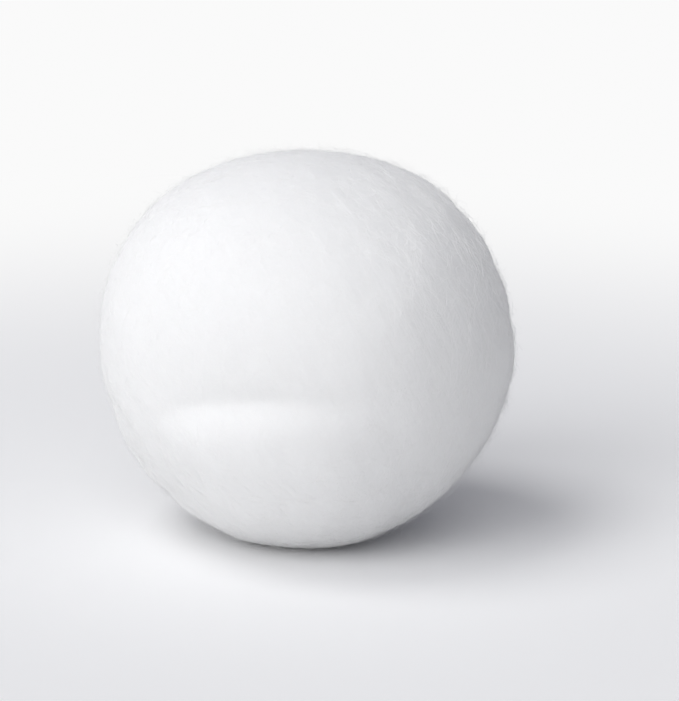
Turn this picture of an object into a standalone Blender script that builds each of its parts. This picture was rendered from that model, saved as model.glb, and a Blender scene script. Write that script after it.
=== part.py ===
"""A cotton ball: a length of carded cotton, rolled up and tucked in at both ends.

The ball is one soft solid. It is shaped about the axis of its own roll, with
the roll's local X along that axis, -Y to the front and +Z up. Then it is
turned to the way it lies, and pressed flat where it rests on the table.
Metres, +Z up. The origin is the middle of the footprint, on the table.
"""

import math

import bmesh
import bpy
from mathutils import Matrix, Vector, noise

# The roll: its length from end to end, and its thickness across the turns.
ROLL_LENGTH = 0.0334
ROLL_DIAMETER = 0.0320

# How the roll lies: the right end is raised, and turned away from the front.
ROLL_TILT = math.radians(26.0)
ROLL_TURN = math.radians(15.0)

# The soft flat spot that the ball rests on, and how gently the ball meets it.
REST_FLAT_DIAMETER = 0.0070
REST_SOFT_HEIGHT = 0.00020

# The lap: the free edge of the outer turn. Its crease winds along the roll.
LAP_ANGLE = math.radians(-3.0)
LAP_TWIST = math.radians(-66.0)
LAP_CREASE_DEPTH = 0.00056
LAP_CREASE_WIDTH_ABOVE = 0.0030
LAP_CREASE_WIDTH_BELOW = 0.0013
LAP_LIP_HEIGHT = 0.00026
LAP_LIP_WIDTH = 0.0030
LAP_LOBE_HEIGHT = 0.00068
LAP_LOBE_DROP = 0.0060

# The crease is deep along this stretch of the roll, and felted over past it.
LAP_DEEP_START = -0.0112
LAP_DEEP_END = -0.0062
LAP_FADE_LEFT = 0.0042
LAP_FADE_RIGHT = 0.0072
LAP_FELTED_SHARE = 0.16
LAP_NOTCH_PLACE = -0.0012
LAP_NOTCH_DEPTH = 0.00020
LAP_NOTCH_WIDTH = 0.0013

# The tucks: the hollows at both ends of the roll, where its turns show.
TUCK_RADIUS = 0.0066
TUCK_DEPTH = 0.00012
TURN_COUNT = 1.7
TURN_LEAD_IN = 0.16
TURN_GROOVE_DEPTH = 0.00024
TURN_GROOVE_WIDTH = 0.00100

# The soft unevenness of the whole ball.
SWELL_HEIGHT = 0.00090
SWELL_SIZE = 0.0180
SWELL_PLACE = Vector((-0.0109, -0.0255, -0.0050))

# The finish of bleached cotton.
COTTON_COLOUR = (0.93, 0.93, 0.925, 1.0)
COTTON_ROUGHNESS = 1.0

# The mesh: lines along and round the roll, crowded at the lap and in the tucks.
LINES_ALONG = 72
LINES_AROUND = 64
LAP_CROWDING = 0.72
TUCK_CROWDING = 0.60


def bell(distance, width):
    """A smooth hump that is 1 at no distance and nearly 0 at twice the width."""
    return math.exp(-((distance / width) ** 2))


def ease(share):
    """A smooth step from 0 to 1 as the share goes from 0 to 1."""
    share = min(1.0, max(0.0, share))
    return share * share * (3.0 - 2.0 * share)


def hump(distance, crest):
    """A hump that starts at no distance, is 1 at its crest and dies away past it."""
    share = max(0.0, distance / crest)
    return share * math.exp(1.0 - share)


def lap_angle_at(axial):
    """Where the lap's crease runs round the roll, at a place along its axis."""
    return LAP_ANGLE + LAP_TWIST * axial / ROLL_LENGTH


class Place:
    """A place on the plain roll, before its surface is pressed into shape.

    from_end is the angle from the roll's right end, as latitudes are counted
    from a pole, and past_lap is the angle round the roll, down from the lap.
    """

    def __init__(self, from_end, past_lap):
        half_length = ROLL_LENGTH / 2
        radius = ROLL_DIAMETER / 2
        along = math.cos(from_end)
        across = math.sin(from_end)
        self.axial = half_length * along
        self.from_axis = radius * across
        self.past_lap = past_lap
        self.below_lap = past_lap * self.from_axis
        angle = lap_angle_at(self.axial) - past_lap
        side = Vector((0.0, -math.cos(angle), math.sin(angle)))
        self.plain = side * self.from_axis + Vector((self.axial, 0.0, 0.0))
        self.outward = side * (across / radius) + Vector((along / half_length, 0.0, 0.0))
        self.outward.normalize()

    def turned(self):
        """The share of a whole turn round the roll, from the lap's crease on."""
        return (self.past_lap / math.tau) % 1.0


def lap_strength(axial):
    """How deep the lap is at a place along the axis, from its felted share to 1."""
    left = ease((LAP_DEEP_START - axial) / LAP_FADE_LEFT)
    right = ease((axial - LAP_DEEP_END) / LAP_FADE_RIGHT)
    return 1.0 - (1.0 - LAP_FELTED_SHARE) * max(left, right)


def lap_relief(place):
    """The crease of the lap, the lip under it and the lobe that swells below."""
    below = place.below_lap
    width = LAP_CREASE_WIDTH_BELOW if below > 0 else LAP_CREASE_WIDTH_ABOVE
    crease = -LAP_CREASE_DEPTH * math.exp(-abs(below) / width)
    risen = 1.0 if below < 0 else ease(below / LAP_LIP_WIDTH)
    lip = LAP_LIP_HEIGHT * risen * (1.0 - place.turned())
    lobe = LAP_LOBE_HEIGHT * hump(below, LAP_LOBE_DROP)
    clear_of_tuck = ease(place.from_axis / TUCK_RADIUS - 0.5)
    return (crease + lip + lobe) * lap_strength(place.axial) * clear_of_tuck


def notch_relief(place):
    """The small pit where the deep part of the crease ends."""
    distance = math.hypot(place.axial - LAP_NOTCH_PLACE, place.below_lap)
    return -LAP_NOTCH_DEPTH * bell(distance, LAP_NOTCH_WIDTH)


def tuck_relief(place):
    """The hollow at an end of the roll, with the roll's turns winding into it."""
    hollow = -TUCK_DEPTH * (1.0 - ease(place.from_axis / TUCK_RADIUS))
    turn = place.turned() - 1.0
    groove = 0.0
    while turn < TURN_COUNT:
        groove_radius = TUCK_RADIUS * (1.0 - turn / TURN_COUNT)
        led_in = ease(1.0 + turn / TURN_LEAD_IN)
        across = bell(place.from_axis - groove_radius, TURN_GROOVE_WIDTH)
        groove = max(groove, led_in * across)
        turn += 1.0
    clear_of_middle = ease(place.from_axis / TURN_GROOVE_WIDTH - 0.5)
    return hollow - TURN_GROOVE_DEPTH * groove * clear_of_middle


def swell_relief(place):
    """The slow, soft unevenness that no rolled ball is without."""
    return SWELL_HEIGHT * noise.noise((place.plain + SWELL_PLACE) / SWELL_SIZE)


def shaped_point(direction):
    """The point of the ball's surface for one direction of a plain sphere."""
    from_end = math.acos(max(-1.0, min(1.0, direction.x)))
    past_lap = math.atan2(-direction.z, -direction.y)
    from_end -= TUCK_CROWDING * math.sin(2.0 * from_end) / 2.0
    past_lap -= LAP_CROWDING * math.sin(from_end) * math.sin(past_lap)
    place = Place(from_end, past_lap)
    relief = (
        lap_relief(place)
        + notch_relief(place)
        + tuck_relief(place)
        + swell_relief(place)
    )
    return place.plain + place.outward * relief


def rest_height():
    """How high the flat spot lies, measured from the roll's middle."""
    spot = math.sqrt(ROLL_DIAMETER**2 - REST_FLAT_DIAMETER**2) / 2
    return REST_SOFT_HEIGHT - spot


def press_flat(mesh):
    """Presses the underside flat, with a soft bend where the ball leaves it."""
    level = rest_height()
    for vertex in mesh.verts:
        above = vertex.co.z - level
        if above < -REST_SOFT_HEIGHT:
            vertex.co.z = level
        elif above < REST_SOFT_HEIGHT:
            bent = (above + REST_SOFT_HEIGHT) ** 2 / (4.0 * REST_SOFT_HEIGHT)
            vertex.co.z = level + bent


def stand_on_origin(mesh):
    """Moves the ball so that the middle of its footprint is the origin."""
    lowest = Vector(min(v.co[axis] for v in mesh.verts) for axis in range(3))
    highest = Vector(max(v.co[axis] for v in mesh.verts) for axis in range(3))
    middle = (lowest + highest) / 2
    to_origin = Vector((-middle.x, -middle.y, -lowest.z))
    bmesh.ops.translate(mesh, verts=mesh.verts, vec=to_origin)


def rolled_ball():
    """The whole ball as a closed mesh."""
    mesh = bmesh.new()
    bmesh.ops.create_uvsphere(
        mesh,
        u_segments=LINES_ALONG,
        v_segments=LINES_AROUND,
        radius=1.0,
        matrix=Matrix.Rotation(math.radians(90.0), 4, "Y"),
    )
    for vertex in mesh.verts:
        vertex.co = shaped_point(vertex.co)
    lies = Matrix.Rotation(ROLL_TURN, 4, "Z") @ Matrix.Rotation(-ROLL_TILT, 4, "Y")
    bmesh.ops.transform(mesh, matrix=lies, verts=mesh.verts)
    press_flat(mesh)
    stand_on_origin(mesh)
    bmesh.ops.triangulate(mesh, faces=mesh.faces, quad_method="SHORT_EDGE")
    bmesh.ops.recalc_face_normals(mesh, faces=mesh.faces)
    return mesh


def cotton_material():
    """Matt bleached cotton."""
    material = bpy.data.materials.new("bleached_cotton")
    material.use_nodes = True
    shader = material.node_tree.nodes["Principled BSDF"]
    shader.inputs["Base Color"].default_value = COTTON_COLOUR
    shader.inputs["Roughness"].default_value = COTTON_ROUGHNESS
    shader.inputs["Metallic"].default_value = 0.0
    material.diffuse_color = COTTON_COLOUR
    return material


def main():
    """Clears the scene and makes the ball."""
    for old in list(bpy.data.objects):
        bpy.data.objects.remove(old)
    shape = rolled_ball()
    data = bpy.data.meshes.new("cotton_ball")
    shape.to_mesh(data)
    shape.free()
    data.shade_smooth()
    data.materials.append(cotton_material())
    ball = bpy.data.objects.new("cotton_ball", data)
    bpy.context.scene.collection.objects.link(ball)


main()
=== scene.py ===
"""The looks of a cotton ball: its soft felt, its loose fibres and a pale studio.

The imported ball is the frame. A copy of its solid is made fine and soft and
stands for it, and thin fibres are laid on that copy the way the roll is wound.
Metres, +Z up. The table is at zero height, and the front faces -Y.
"""

import logging
import math
import random
from dataclasses import dataclass
from enum import Enum

import bmesh
import bpy
from mathutils import Matrix, Vector, noise
from mathutils.bvhtree import BVHTree


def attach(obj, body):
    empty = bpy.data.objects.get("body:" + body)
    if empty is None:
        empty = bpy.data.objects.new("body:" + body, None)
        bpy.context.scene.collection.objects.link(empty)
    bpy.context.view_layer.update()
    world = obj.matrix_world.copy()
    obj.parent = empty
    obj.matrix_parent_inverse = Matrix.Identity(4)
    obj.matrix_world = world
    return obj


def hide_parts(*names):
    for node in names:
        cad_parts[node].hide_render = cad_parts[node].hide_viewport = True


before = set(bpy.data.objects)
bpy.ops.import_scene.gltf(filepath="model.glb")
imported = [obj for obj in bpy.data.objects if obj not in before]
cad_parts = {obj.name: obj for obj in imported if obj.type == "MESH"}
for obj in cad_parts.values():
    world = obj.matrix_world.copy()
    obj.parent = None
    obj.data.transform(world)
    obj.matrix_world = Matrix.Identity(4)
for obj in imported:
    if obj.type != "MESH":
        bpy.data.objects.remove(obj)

LOG = logging.getLogger("cotton_ball")
BALL_NODE = "cotton_ball"
BALL_BODY = "root"
WINDING_MAP = "winding"
MILLIMETRE = 0.001


def evaluated_mesh(shape: bpy.types.Object, name: str) -> bpy.types.Mesh:
    """Makes a plain mesh of an object as its modifiers or its bevel leave it.

    Args:
        shape: The object to read.
        name: The name of the new mesh.

    Returns:
        A mesh that no longer depends on the object.
    """
    graph = bpy.context.evaluated_depsgraph_get()
    mesh = bpy.data.meshes.new_from_object(shape.evaluated_get(graph))
    mesh.name = name
    return mesh


def placed(name: str, data: bpy.types.ID) -> bpy.types.Object:
    """Puts data in the scene as an object at the origin.

    Args:
        name: The object's name.
        data: Its mesh, curve, lamp or camera.

    Returns:
        The new object.
    """
    shape = bpy.data.objects.new(name, data)
    bpy.context.scene.collection.objects.link(shape)
    return shape


@dataclass(frozen=True)
class Winding:
    """The way the roll is wound, which streaks and fibres follow.

    The map of a place on it has three numbers in metres: the way along the
    surface from end to end, and a small circle for the angle round the roll.
    A pattern on that map is fine across the turns and long round the roll.

    Attributes:
        radius: The radius of the roll, with its swells.
        tilt: How far its right end is raised.
        turn: How far its right end is turned away from the front.
        middle: Where the middle of the roll is.
        circle: The radius of the small circle on the map.
        end_sine: How near its axis a direction counts as an end, as a sine.
    """

    radius: float = 16.2 * MILLIMETRE
    tilt: float = math.radians(26.0)
    turn: float = math.radians(15.0)
    middle: Vector = Vector((-0.03, 0.34, 15.41)) * MILLIMETRE
    circle: float = 2.0 * MILLIMETRE
    end_sine: float = 0.05

    def lies(self) -> Matrix:
        """The turn from the roll's own axes to the way it lies."""
        return Matrix.Rotation(self.turn, 3, "Z") @ Matrix.Rotation(-self.tilt, 3, "Y")

    def axis(self) -> Vector:
        """The direction of the roll's axis, towards its raised right end."""
        return self.lies() @ Vector((1.0, 0.0, 0.0))

    def outward(self, point: Vector) -> Vector:
        """The direction from the roll's middle to a point."""
        return (point - self.middle).normalized()

    def mapped(self, point: Vector, from_lies: Matrix) -> Vector:
        """Finds where a point lies on the winding.

        Args:
            point: A point on the ball.
            from_lies: The turn back to the roll's own axes.

        Returns:
            The place on the winding's map.
        """
        own = from_lies @ (point - self.middle)
        from_axis = math.hypot(own.y, own.z)
        along = self.radius * math.atan2(own.x, from_axis)
        if from_axis == 0.0:
            return Vector((along, 0.0, 0.0))
        return Vector((along, self.circle * own.y / from_axis, self.circle * own.z / from_axis))

    def round_way(self, point: Vector) -> Vector:
        """Finds the direction round the roll at a point.

        Args:
            point: A point on the ball.

        Returns:
            The unit direction, or any one across the axis at the roll's ends.
        """
        way = self.axis().cross(self.outward(point))
        if way.length < self.end_sine:
            return self.axis().orthogonal().normalized()
        return way.normalized()


@dataclass(frozen=True)
class Felt:
    """The finish of the ball's felted surface: matt white cotton that light sinks into.

    Attributes:
        name: The material's name.
        colour: The colour where the felt is thick.
        hollow_colour: The colour where it is thin.
        roughness: How rough it is to shine.
        chalkiness: How rough it is to plain light.
        gloss: How much it shines.
        soft_share: How much of the light sinks into it.
        soft_spread: How far each colour of light spreads, as a share of the depth.
        soft_depth: How deep light sinks.
        sheen: How much its fuzz glows at the rim.
        sheen_roughness: How wide that glow is.
        mottle_size: The size of a thick or thin patch.
        mottle_detail: How many finer layers the patches have.
        strand_size: The width of a strand.
        strand_detail: How many finer layers the strands have.
        strand_relief: How far the strands stand out.
        fleck_size: The size of a fleck.
        fleck_detail: How many finer layers the flecks have.
        fleck_relief: How far the flecks stand out.
        grain_roughness: How strong the finer layers are against the coarser ones.
    """

    name: str = "felted_cotton"
    colour: tuple[float, float, float, float] = (0.955, 0.955, 0.952, 1.0)
    hollow_colour: tuple[float, float, float, float] = (0.930, 0.930, 0.930, 1.0)
    roughness: float = 1.0
    chalkiness: float = 0.2
    gloss: float = 0.12
    soft_share: float = 0.6
    soft_spread: tuple[float, float, float] = (1.0, 1.0, 1.0)
    soft_depth: float = 1.4 * MILLIMETRE
    sheen: float = 0.18
    sheen_roughness: float = 0.6
    mottle_size: float = 3.2 * MILLIMETRE
    mottle_detail: float = 3.0
    strand_size: float = 0.22 * MILLIMETRE
    strand_detail: float = 4.0
    strand_relief: float = 0.038 * MILLIMETRE
    fleck_size: float = 0.30 * MILLIMETRE
    fleck_detail: float = 3.0
    fleck_relief: float = 0.030 * MILLIMETRE
    grain_roughness: float = 0.55

    def material(self) -> bpy.types.Material:
        """Makes the felt's material.

        Returns:
            A material whose fine strands follow the winding's map.
        """
        material = bpy.data.materials.new(self.name)
        material.use_nodes = True
        nodes = material.node_tree.nodes
        links = material.node_tree.links
        shader = nodes["Principled BSDF"]
        shader.inputs["Diffuse Roughness"].default_value = self.chalkiness
        shader.inputs["Roughness"].default_value = self.roughness
        shader.inputs["Specular IOR Level"].default_value = self.gloss
        shader.inputs["Subsurface Weight"].default_value = self.soft_share
        shader.inputs["Subsurface Radius"].default_value = self.soft_spread
        shader.inputs["Subsurface Scale"].default_value = self.soft_depth
        shader.inputs["Sheen Weight"].default_value = self.sheen
        shader.inputs["Sheen Roughness"].default_value = self.sheen_roughness

        place = nodes.new("ShaderNodeTexCoord")
        winding = nodes.new("ShaderNodeAttribute")
        winding.attribute_name = WINDING_MAP

        mottle = self.grain(nodes, self.mottle_size, self.mottle_detail)
        links.new(place.outputs["Object"], mottle.inputs["Vector"])
        shade = nodes.new("ShaderNodeMix")
        shade.data_type = "RGBA"
        shade.inputs["A"].default_value = self.hollow_colour
        shade.inputs["B"].default_value = self.colour
        links.new(mottle.outputs["Fac"], shade.inputs["Factor"])
        links.new(shade.outputs["Result"], shader.inputs["Base Color"])

        strands = self.grain(nodes, self.strand_size, self.strand_detail)
        links.new(winding.outputs["Vector"], strands.inputs["Vector"])
        strand_bump = nodes.new("ShaderNodeBump")
        strand_bump.inputs["Distance"].default_value = self.strand_relief
        links.new(strands.outputs["Fac"], strand_bump.inputs["Height"])

        flecks = self.grain(nodes, self.fleck_size, self.fleck_detail)
        links.new(place.outputs["Object"], flecks.inputs["Vector"])
        fleck_bump = nodes.new("ShaderNodeBump")
        fleck_bump.inputs["Distance"].default_value = self.fleck_relief
        links.new(flecks.outputs["Fac"], fleck_bump.inputs["Height"])
        links.new(strand_bump.outputs["Normal"], fleck_bump.inputs["Normal"])
        links.new(fleck_bump.outputs["Normal"], shader.inputs["Normal"])
        return material

    def grain(self, nodes: bpy.types.Nodes, size: float, detail: float) -> bpy.types.Node:
        """Adds one noise texture.

        Args:
            nodes: The nodes of the material.
            size: The size of one cell of the noise.
            detail: How many finer layers it has.

        Returns:
            The noise texture.
        """
        texture = nodes.new("ShaderNodeTexNoise")
        texture.inputs["Scale"].default_value = 1.0 / size
        texture.inputs["Detail"].default_value = detail
        texture.inputs["Roughness"].default_value = self.grain_roughness
        return texture


@dataclass(frozen=True)
class Fibre:
    """The finish of single fibres: bleached, dull and plain, since each is so thin.

    Attributes:
        name: The material's name.
        colour: The colour of bleached cotton.
        roughness: How rough it is to shine.
        gloss: How much it shines.
    """

    name: str = "cotton_fibre"
    colour: tuple[float, float, float, float] = (0.975, 0.975, 0.973, 1.0)
    roughness: float = 0.85
    gloss: float = 0.2

    def material(self) -> bpy.types.Material:
        """Makes the fibres' material.

        Returns:
            A matt white material.
        """
        material = bpy.data.materials.new(self.name)
        material.use_nodes = True
        shader = material.node_tree.nodes["Principled BSDF"]
        shader.inputs["Base Color"].default_value = self.colour
        shader.inputs["Roughness"].default_value = self.roughness
        shader.inputs["Specular IOR Level"].default_value = self.gloss
        return material


@dataclass(frozen=True)
class Relief:
    """One scale of the felt's unevenness.

    Attributes:
        size: The size of one swelling or strand across.
        height: How far it stands off the surface at most.
        on_winding: Whether it is drawn out round the roll.
        seed: What shifts its pattern to another part of the noise.
    """

    size: float
    height: float
    on_winding: bool
    seed: float

    def at(self, point: Vector, mapped: Vector) -> float:
        """Works out the height of this relief.

        Args:
            point: The place on the ball.
            mapped: The same place on the winding's map.

        Returns:
            The height above the plain surface, which may be below zero.
        """
        place = (mapped if self.on_winding else point) / self.size
        return self.height * noise.noise(place + Vector((self.seed, -self.seed, self.seed)))


@dataclass
class FeltedBody:
    """The ball itself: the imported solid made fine, softened and felted.

    Attributes:
        winding: The way the roll is wound.
        finish: What it is made of.
        name: The piece's name.
        joined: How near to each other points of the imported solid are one.
        refinements: How often its facets are divided and rounded off.
        pitch: How far apart the points of the fine mesh are.
        smoothing_rounds: How often the fine mesh is smoothed.
        smoothing_share: How far a round moves a point towards its neighbours.
        fill: How full the ball is of what pads it.
        reliefs: The scales of the felt's unevenness.
    """

    winding: Winding
    finish: Felt
    name: str = "cotton_body"
    joined: float = 0.001 * MILLIMETRE
    refinements: int = 2
    pitch: float = 0.236 * MILLIMETRE
    smoothing_rounds: int = 6
    smoothing_share: float = 0.5
    fill: float = 0.7
    reliefs: tuple[Relief, ...] = (
        Relief(size=3.4 * MILLIMETRE, height=0.060 * MILLIMETRE, on_winding=False, seed=3.7),
        Relief(size=1.3 * MILLIMETRE, height=0.036 * MILLIMETRE, on_winding=True, seed=8.1),
        Relief(size=0.55 * MILLIMETRE, height=0.030 * MILLIMETRE, on_winding=True, seed=15.3),
        Relief(size=0.9 * MILLIMETRE, height=0.022 * MILLIMETRE, on_winding=False, seed=21.9),
    )

    def build(self) -> bpy.types.Object:
        """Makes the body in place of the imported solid.

        Returns:
            The finished body.
        """
        fine = self.fine_copy()
        work = bmesh.new()
        work.from_mesh(fine)
        for _ in range(self.smoothing_rounds):
            bmesh.ops.smooth_vert(
                work,
                verts=work.verts,
                factor=self.smoothing_share,
                use_axis_x=True,
                use_axis_y=True,
                use_axis_z=True,
            )
        self.felt(work)
        work.to_mesh(fine)
        work.free()
        self.map_winding(fine)
        fine.shade_smooth()
        body = placed(self.name, fine)
        body.data.materials.append(self.finish.material())
        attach(body, BALL_BODY)
        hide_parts(BALL_NODE)
        LOG.info("%s: %d faces", self.name, len(fine.polygons))
        return body

    def fine_copy(self) -> bpy.types.Mesh:
        """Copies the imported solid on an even, fine mesh.

        Returns:
            The copy, with its facets rounded off.
        """
        work = bmesh.new()
        work.from_mesh(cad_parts[BALL_NODE].data)
        bmesh.ops.remove_doubles(work, verts=work.verts, dist=self.joined)
        rough = bpy.data.meshes.new("rough_copy")
        work.to_mesh(rough)
        work.free()
        copy = placed("rough_copy", rough)
        rounded = copy.modifiers.new("rounded", "SUBSURF")
        rounded.levels = self.refinements
        rounded.render_levels = self.refinements
        even = copy.modifiers.new("even", "REMESH")
        even.mode = "VOXEL"
        even.voxel_size = self.pitch
        fine = evaluated_mesh(copy, self.name)
        bpy.data.objects.remove(copy)
        bpy.data.meshes.remove(rough)
        return fine

    def felt(self, work: bmesh.types.BMesh) -> None:
        """Raises the felt's relief, and keeps the underside on the table.

        Args:
            work: The soft mesh, which is changed in place.
        """
        from_lies = self.winding.lies().inverted()
        work.normal_update()
        moves = []
        for vertex in work.verts:
            mapped = self.winding.mapped(vertex.co, from_lies)
            height = sum(relief.at(vertex.co, mapped) for relief in self.reliefs)
            moves.append(vertex.normal * height)
        for vertex, move in zip(work.verts, moves):
            vertex.co += move
            vertex.co.z = max(0.0, vertex.co.z)

    def map_winding(self, mesh: bpy.types.Mesh) -> None:
        """Keeps each point's place on the winding, for the finish to read.

        Args:
            mesh: The body's mesh.
        """
        from_lies = self.winding.lies().inverted()
        kept = mesh.attributes.new(WINDING_MAP, "FLOAT_VECTOR", "POINT")
        for vertex, value in zip(mesh.vertices, kept.data):
            value.vector = self.winding.mapped(vertex.co, from_lies)


class Surface:
    """The finished skin of the body, which fibres are laid along."""

    # How far out the search for the skin starts, in radii of the roll.
    START_RADII = 2.0

    def __init__(self, body: bpy.types.Object, winding: Winding) -> None:
        """Reads the body's skin.

        Args:
            body: The finished body.
            winding: The way the roll is wound.
        """
        work = bmesh.new()
        work.from_mesh(body.data)
        self.tree = BVHTree.FromBMesh(work)
        work.free()
        self.winding = winding
        self.reach = self.START_RADII * winding.radius

    def under(self, point: Vector) -> tuple[Vector, Vector]:
        """Finds the skin beneath or above a point.

        Args:
            point: A point near the ball.

        Returns:
            The place on the skin, and the direction outward there.
        """
        outward = self.winding.outward(point)
        start = self.winding.middle + outward * self.reach
        found = self.tree.ray_cast(start, -outward)[0]
        return found, outward


class Lay(Enum):
    """How the felt holds the fibres of a layer."""

    ARCHED = "by both ends"
    LOOSE = "by one end"


@dataclass
class FibreLayer:
    """A layer of fibres, each a thin closed tube rooted in the body.

    Attributes:
        name: The piece's name.
        lay: How the felt holds them.
        winding: The way the roll is wound.
        count: How many there are.
        seed: The start of this layer's random draws.
        shortest: The length of the shortest fibre.
        longest: The length of the longest fibre.
        thickness: How thick a fibre is.
        rise: How far a fibre stands off the skin at most.
        stray: How far its direction strays from the way round the roll.
        wander: How far it bends at each of its points.
        points: How many points a fibre has.
        swerve_share: How much that bend changes from point to point, as a share of it.
        low_rise: How many more fibres rise little than much, as a power.
        late_rise: How late on its way a loose fibre rises, as a power.
        root_depth: How deep a root sits in the skin.
        tip_share: How thick a tip is, as a share of the fibre's thickness.
        sides: How many sides a fibre's section has.
    """

    name: str
    lay: Lay
    winding: Winding
    count: int
    seed: int
    shortest: float
    longest: float
    thickness: float
    rise: float
    stray: float
    wander: float
    points: int
    swerve_share: float = 0.5
    low_rise: float = 1.6
    late_rise: float = 1.3
    root_depth: float = 0.06 * MILLIMETRE
    tip_share: float = 0.45
    sides: int = 3

    def build(self, surface: Surface, material: bpy.types.Material) -> bpy.types.Object:
        """Lays the fibres, which are too thin to cast a shadow that shows.

        Args:
            surface: The skin that they are laid along.
            material: Their finish.

        Returns:
            The layer as one piece.
        """
        draws = random.Random(self.seed)
        section = self.section()
        strands = bpy.data.curves.new(self.name + "_strands", "CURVE")
        strands.dimensions = "3D"
        strands.bevel_mode = "OBJECT"
        strands.bevel_object = section
        strands.use_fill_caps = True
        for _ in range(self.count):
            route = self.route(surface, draws)
            strand = strands.splines.new("POLY")
            strand.points.add(len(route) - 1)
            for index, place in enumerate(route):
                strand.points[index].co = (*place, 1.0)
                strand.points[index].radius = self.taper(index)
        shape = placed(self.name + "_strands", strands)
        mesh = evaluated_mesh(shape, self.name)
        bpy.data.objects.remove(shape)
        bpy.data.objects.remove(section)
        self.face_outward(mesh)
        mesh.shade_smooth()
        mesh.materials.clear()
        mesh.materials.append(material)
        layer = placed(self.name, mesh)
        layer.visible_shadow = False
        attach(layer, BALL_BODY)
        LOG.info("%s: %d fibres, %d faces", self.name, self.count, len(mesh.polygons))
        return layer

    def section(self) -> bpy.types.Object:
        """Makes the outline of a fibre's section.

        Returns:
            A small closed outline with few sides.
        """
        outline = bpy.data.curves.new(self.name + "_section", "CURVE")
        outline.dimensions = "2D"
        ring = outline.splines.new("POLY")
        ring.points.add(self.sides - 1)
        ring.use_cyclic_u = True
        for side in range(self.sides):
            angle = math.tau * side / self.sides
            across = self.thickness / 2.0
            ring.points[side].co = (across * math.cos(angle), across * math.sin(angle), 0.0, 1.0)
        return placed(self.name + "_section", outline)

    def taper(self, index: int) -> float:
        """Works out how thick a fibre is at one of its points.

        Args:
            index: Which point it is, counted from the root.

        Returns:
            The thickness there, as a share of the fibre's own.
        """
        share = index / (self.points - 1)
        if self.lay is Lay.LOOSE:
            return 1.0 - (1.0 - self.tip_share) * share
        return 1.0 - (1.0 - self.tip_share) * abs(2.0 * share - 1.0)

    def route(self, surface: Surface, draws: random.Random) -> list[Vector]:
        """Draws one fibre's way.

        Args:
            surface: The skin that it is laid along.
            draws: The layer's random draws.

        Returns:
            The fibre's points, from its root on.
        """
        spot = Vector((draws.gauss(0.0, 1.0), draws.gauss(0.0, 1.0), draws.gauss(0.0, 1.0)))
        place, outward = surface.under(self.winding.middle + spot.normalized())
        heading = self.winding.round_way(place)
        # Every other fibre or so starts the other way round.
        if draws.random() < 0.5:
            heading = -heading
        heading = Matrix.Rotation(draws.gauss(0.0, self.stray), 3, outward) @ heading
        length = draws.uniform(self.shortest, self.longest)
        step = length / (self.points - 1)
        rise = self.rise * draws.random() ** self.low_rise
        bend = draws.gauss(0.0, self.wander)
        route = []
        for index in range(self.points):
            share = index / (self.points - 1)
            route.append(self.above_table(place + outward * self.height(share, rise)))
            bend += draws.gauss(0.0, self.wander * self.swerve_share)
            heading = Matrix.Rotation(bend, 3, outward) @ heading
            place, outward = surface.under(place + heading * step)
            heading = (heading - outward * heading.dot(outward)).normalized()
        return route

    def height(self, share: float, rise: float) -> float:
        """How far a fibre stands off the skin.

        Args:
            share: How far along the fibre the place is.
            rise: How far this fibre rises at most.

        Returns:
            The height above the skin, below zero at a root.
        """
        if self.lay is Lay.LOOSE:
            return -self.root_depth + (self.root_depth + rise) * share**self.late_rise
        return -self.root_depth + (self.root_depth + rise) * math.sin(math.pi * share)

    def above_table(self, place: Vector) -> Vector:
        """The place, raised where it would sink into the table."""
        return Vector((place.x, place.y, max(place.z, self.thickness)))

    def face_outward(self, mesh: bpy.types.Mesh) -> None:
        """Turns the fibres' faces outward.

        Args:
            mesh: The layer's mesh, which is changed in place.
        """
        work = bmesh.new()
        work.from_mesh(mesh)
        bmesh.ops.recalc_face_normals(work, faces=work.faces)
        work.to_mesh(mesh)
        work.free()


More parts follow.
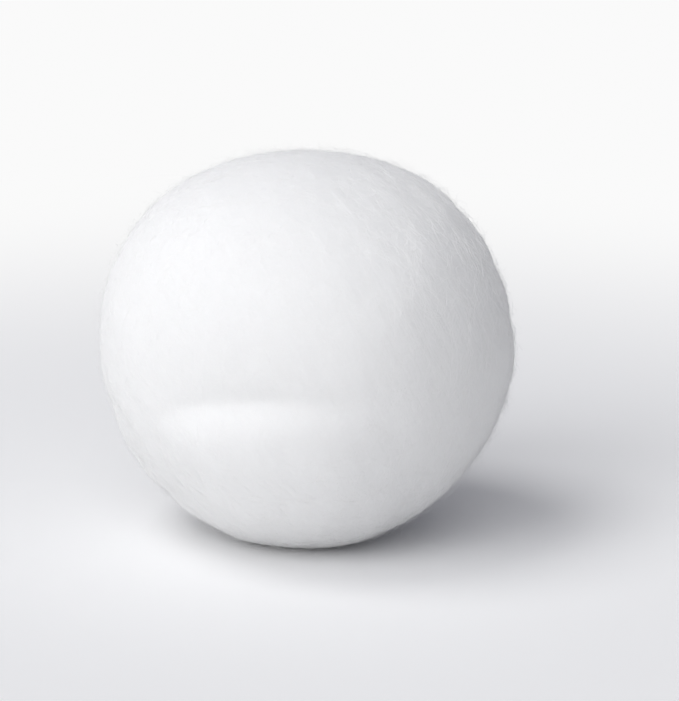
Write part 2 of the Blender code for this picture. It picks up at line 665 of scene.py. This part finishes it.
@dataclass
class CottonBall:
    """The whole ball: its felted body and the fibres on it.

    Attributes:
        winding: The way the roll is wound.
        felt: The finish of the body.
        fibre: The finish of every fibre.
    """

    winding: Winding
    felt: Felt
    fibre: Fibre

    def layers(self) -> list[FibreLayer]:
        """Lists the layers of fibres, from the skin out.

        Returns:
            The layers, not yet built.
        """
        return [
            FibreLayer(
                name="felted_fibres",
                lay=Lay.ARCHED,
                count=4200,
                seed=11,
                shortest=3.0 * MILLIMETRE,
                longest=6.5 * MILLIMETRE,
                thickness=0.019 * MILLIMETRE,
                rise=0.05 * MILLIMETRE,
                stray=0.7,
                wander=0.10,
                points=8,
                winding=self.winding,
            ),
            FibreLayer(
                name="crossing_fibres",
                lay=Lay.ARCHED,
                count=4200,
                seed=23,
                shortest=2.0 * MILLIMETRE,
                longest=4.5 * MILLIMETRE,
                thickness=0.019 * MILLIMETRE,
                rise=0.10 * MILLIMETRE,
                stray=1.4,
                wander=0.16,
                points=8,
                winding=self.winding,
            ),
            FibreLayer(
                name="looped_fibres",
                lay=Lay.ARCHED,
                count=4200,
                seed=37,
                shortest=1.6 * MILLIMETRE,
                longest=4.0 * MILLIMETRE,
                thickness=0.017 * MILLIMETRE,
                rise=0.45 * MILLIMETRE,
                stray=1.2,
                wander=0.18,
                points=8,
                winding=self.winding,
            ),
            FibreLayer(
                name="loose_fibres",
                lay=Lay.LOOSE,
                count=5800,
                seed=51,
                shortest=0.7 * MILLIMETRE,
                longest=2.4 * MILLIMETRE,
                thickness=0.017 * MILLIMETRE,
                rise=0.9 * MILLIMETRE,
                stray=1.5,
                wander=0.22,
                points=6,
                winding=self.winding,
            ),
        ]

    def build(self) -> list[bpy.types.Object]:
        """Builds the body and every layer.

        Returns:
            The ball's pieces.
        """
        body = FeltedBody(winding=self.winding, finish=self.felt).build()
        surface = Surface(body, self.winding)
        material = self.fibre.material()
        return [body] + [layer.build(surface, material) for layer in self.layers()]


@dataclass(frozen=True)
class Lamp:
    """One broad lamp, far from the ball.

    Attributes:
        name: What the lamp is called.
        strength: How strong it is.
        azimuth: Where it hangs, round from the front to the right.
        elevation: How high it hangs above the table.
        width: How wide it looks from the ball, which softens its shadow.
    """

    name: str
    strength: float
    azimuth: float
    elevation: float
    width: float


@dataclass
class Studio:
    """A pale floor under plain soft light, and the camera.

    Attributes:
        floor_radius: How far the floor reaches.
        floor_sides: How many sides its rim has.
        floor_edge_start: How far out it starts to turn into the backdrop.
        floor_edge_end: How far out it is all backdrop.
        floor_colour: How pale it is for the light that it throws back.
        floor_shown: How pale it is where it is seen.
        backdrop: How bright the backdrop is.
        sky_strength: How strong the light from all round is.
        sky_colour: The colour of that light.
        lamps: The lamps.
        camera_lens: The camera's focal length, in millimetres.
        camera_sensor: Its sensor's size along the longer side, in millimetres.
        camera_elevation: How high it stands, as an angle above the table.
        view_height: How much the picture's height takes in at the ball.
        aim: The place that it looks at.
    """

    floor_radius: float = 1.2
    floor_sides: int = 96
    floor_edge_start: float = 0.035
    floor_edge_end: float = 0.13
    floor_colour: float = 0.90
    floor_shown: float = 0.985
    backdrop: float = 0.955
    sky_strength: float = 0.156
    sky_colour: tuple[float, float, float] = (0.82, 0.84, 1.0)
    lamps: tuple[Lamp, ...] = (
        Lamp(
            name="ceiling_lamp",
            strength=0.33,
            azimuth=math.radians(0.0),
            elevation=math.radians(88.0),
            width=math.radians(70.0),
        ),
        Lamp(
            name="top_lamp",
            strength=0.765,
            azimuth=math.radians(-92.0),
            elevation=math.radians(64.0),
            width=math.radians(30.0),
        ),
        Lamp(
            name="side_lamp",
            strength=0.52,
            azimuth=math.radians(-45.0),
            elevation=math.radians(36.0),
            width=math.radians(34.0),
        ),
        Lamp(
            name="front_lamp",
            strength=1.17,
            azimuth=math.radians(-25.0),
            elevation=math.radians(36.0),
            width=math.radians(70.0),
        ),
    )
    camera_lens: float = 250.0
    camera_sensor: float = 36.0
    camera_elevation: float = math.radians(15.0)
    view_height: float = 0.0565
    aim: Vector = Vector((0.0026, 0.0, 0.0150))

    def build(self) -> None:
        """Builds the floor, the light and the camera."""
        bpy.context.scene.view_settings.view_transform = "Standard"
        self.floor()
        self.sky()
        for lamp in self.lamps:
            self.hang(lamp)
        self.camera()

    def direction(self, azimuth: float, elevation: float) -> Vector:
        """Works out a direction as seen from the ball.

        Args:
            azimuth: The angle round from the front, to the right.
            elevation: The angle above the table.

        Returns:
            The unit direction.
        """
        level = math.cos(elevation)
        return Vector(
            (math.sin(azimuth) * level, -math.cos(azimuth) * level, math.sin(elevation))
        )

    def floor(self) -> None:
        """Makes the floor, which turns into the backdrop far from the ball."""
        work = bmesh.new()
        bmesh.ops.create_circle(
            work, cap_ends=True, segments=self.floor_sides, radius=self.floor_radius
        )
        mesh = bpy.data.meshes.new("floor")
        work.to_mesh(mesh)
        work.free()
        floor = placed("floor", mesh)
        mesh.materials.append(self.floor_material())

    def floor_material(self) -> bpy.types.Material:
        """Makes the floor's material.

        Returns:
            A matt material that takes the ball's shadow, and plain light far out.
        """
        material = bpy.data.materials.new("pale_floor")
        material.use_nodes = True
        nodes = material.node_tree.nodes
        links = material.node_tree.links
        nodes.remove(nodes["Principled BSDF"])

        seen = self.seen_by_camera(nodes, links)
        colour = nodes.new("ShaderNodeMix")
        colour.inputs["A"].default_value = self.floor_colour
        colour.inputs["B"].default_value = self.floor_shown
        links.new(seen, colour.inputs["Factor"])
        matt = nodes.new("ShaderNodeBsdfDiffuse")
        links.new(colour.outputs["Result"], matt.inputs["Color"])

        place = nodes.new("ShaderNodeTexCoord")
        far = nodes.new("ShaderNodeVectorMath")
        far.operation = "LENGTH"
        links.new(place.outputs["Object"], far.inputs[0])
        fade = nodes.new("ShaderNodeMapRange")
        fade.interpolation_type = "SMOOTHERSTEP"
        fade.inputs["From Min"].default_value = self.floor_edge_start
        fade.inputs["From Max"].default_value = self.floor_edge_end
        links.new(far.outputs["Value"], fade.inputs["Value"])

        plain = nodes.new("ShaderNodeEmission")
        plain.inputs["Color"].default_value = (self.backdrop,) * 3 + (1.0,)
        joined = nodes.new("ShaderNodeMixShader")
        links.new(fade.outputs["Result"], joined.inputs["Fac"])
        links.new(matt.outputs["BSDF"], joined.inputs[1])
        links.new(plain.outputs["Emission"], joined.inputs[2])
        links.new(joined.outputs["Shader"], nodes["Material Output"].inputs["Surface"])
        return material

    def seen_by_camera(
        self, nodes: bpy.types.Nodes, links: bpy.types.NodeLinks
    ) -> bpy.types.NodeSocket:
        """Tells what is seen, straight or in gloss and glass, from what lights.

        Args:
            nodes: The nodes to add to.
            links: Their links.

        Returns:
            A socket that is 1 for a ray that shows the surface.
        """
        path = nodes.new("ShaderNodeLightPath")
        straight_or_gloss = nodes.new("ShaderNodeMath")
        straight_or_gloss.operation = "MAXIMUM"
        links.new(path.outputs["Is Camera Ray"], straight_or_gloss.inputs[0])
        links.new(path.outputs["Is Glossy Ray"], straight_or_gloss.inputs[1])
        or_glass = nodes.new("ShaderNodeMath")
        or_glass.operation = "MAXIMUM"
        links.new(straight_or_gloss.outputs["Value"], or_glass.inputs[0])
        links.new(path.outputs["Is Transmission Ray"], or_glass.inputs[1])
        return or_glass.outputs["Value"]

    def sky(self) -> None:
        """Lights the room evenly, and shows a pale backdrop."""
        world = bpy.data.worlds.new("pale_room")
        bpy.context.scene.world = world
        world.use_nodes = True
        nodes = world.node_tree.nodes
        links = world.node_tree.links
        light = nodes["Background"]
        light.inputs["Color"].default_value = (*self.sky_colour, 1.0)
        light.inputs["Strength"].default_value = self.sky_strength
        shown = nodes.new("ShaderNodeBackground")
        shown.inputs["Color"].default_value = (self.backdrop,) * 3 + (1.0,)
        joined = nodes.new("ShaderNodeMixShader")
        links.new(self.seen_by_camera(nodes, links), joined.inputs["Fac"])
        links.new(light.outputs["Background"], joined.inputs[1])
        links.new(shown.outputs["Background"], joined.inputs[2])
        links.new(joined.outputs["Shader"], nodes["World Output"].inputs["Surface"])

    def hang(self, lamp: Lamp) -> None:
        """Hangs one lamp.

        Args:
            lamp: What it is like and where it hangs.
        """
        data = bpy.data.lights.new(lamp.name, "SUN")
        data.energy = lamp.strength
        data.angle = lamp.width
        toward = self.direction(lamp.azimuth, lamp.elevation)
        placed(lamp.name, data).rotation_euler = toward.to_track_quat("Z", "Y").to_euler()

    def camera(self) -> None:
        """Sets the camera at the photo's angle, far off with a long lens."""
        data = bpy.data.cameras.new("camera")
        data.lens = self.camera_lens
        data.sensor_width = self.camera_sensor
        distance = self.view_height * self.camera_lens / self.camera_sensor
        toward = self.direction(0.0, self.camera_elevation)
        camera = placed("camera", data)
        camera.location = self.aim + toward * distance
        camera.rotation_euler = toward.to_track_quat("Z", "Y").to_euler()
        bpy.context.scene.camera = camera


def main() -> None:
    """Builds the ball and its studio, and logs how many triangles the ball's pieces have."""
    logging.basicConfig(level=logging.INFO, format="%(name)s: %(message)s")
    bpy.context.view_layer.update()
    pieces = CottonBall(winding=Winding(), felt=Felt(), fibre=Fibre()).build()
    Studio().build()
    triangles = sum(len(face.vertices) - 2 for piece in pieces for face in piece.data.polygons)
    LOG.info("%d pieces, %d triangles", len(pieces), triangles)


if __name__ == "__main__":
    main()
